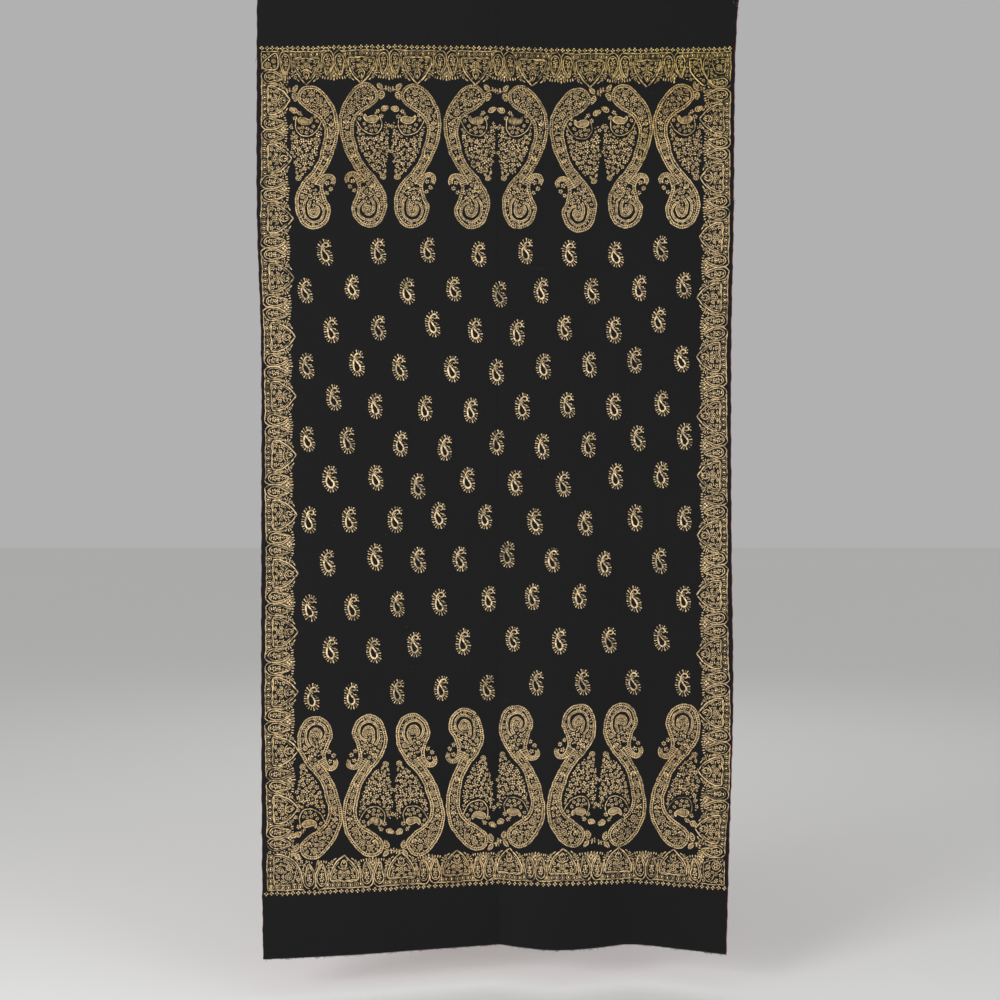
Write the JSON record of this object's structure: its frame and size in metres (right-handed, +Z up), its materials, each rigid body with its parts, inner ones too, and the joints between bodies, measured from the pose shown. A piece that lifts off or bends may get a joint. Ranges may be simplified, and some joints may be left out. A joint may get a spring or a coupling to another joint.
{
  "type": "kashmir shawl, hung by its top edge",
  "caption": "Long rectangular wool shawl hanging flat from its top edge, black face and red reverse, with a gold embroidered border and rows of hooked botehs at both ends.",
  "frame": {"origin": "the middle of the top edge, where the shawl is held", "axes": "+Z up along the length of the cloth, X across its width, and the embroidered face looks along -Y"},
  "size_m": [1.0131, 0.1143, 2.02],
  "materials": {
    "black_wool": "matt fine wool twill, red on its reverse",
    "gold_thread": "satin gold thread"
  },
  "bodies": {
    "root": {"cloth": "black_wool", "border_top": "gold_thread", "border_bottom": "gold_thread", "border_left": "gold_thread", "border_right": "gold_thread", "boteh_top_1": "gold_thread", "boteh_top_2": "gold_thread", "boteh_top_3": "gold_thread", "boteh_top_4": "gold_thread", "boteh_top_5": "gold_thread", "boteh_top_6": "gold_thread", "boteh_top_7": "gold_thread", "boteh_top_8": "gold_thread", "boteh_bottom_1": "gold_thread", "boteh_bottom_2": "gold_thread", "boteh_bottom_3": "gold_thread", "boteh_bottom_4": "gold_thread", "boteh_bottom_5": "gold_thread", "boteh_bottom_6": "gold_thread", "boteh_bottom_7": "gold_thread", "boteh_bottom_8": "gold_thread"}
  },
  "joints": []
}
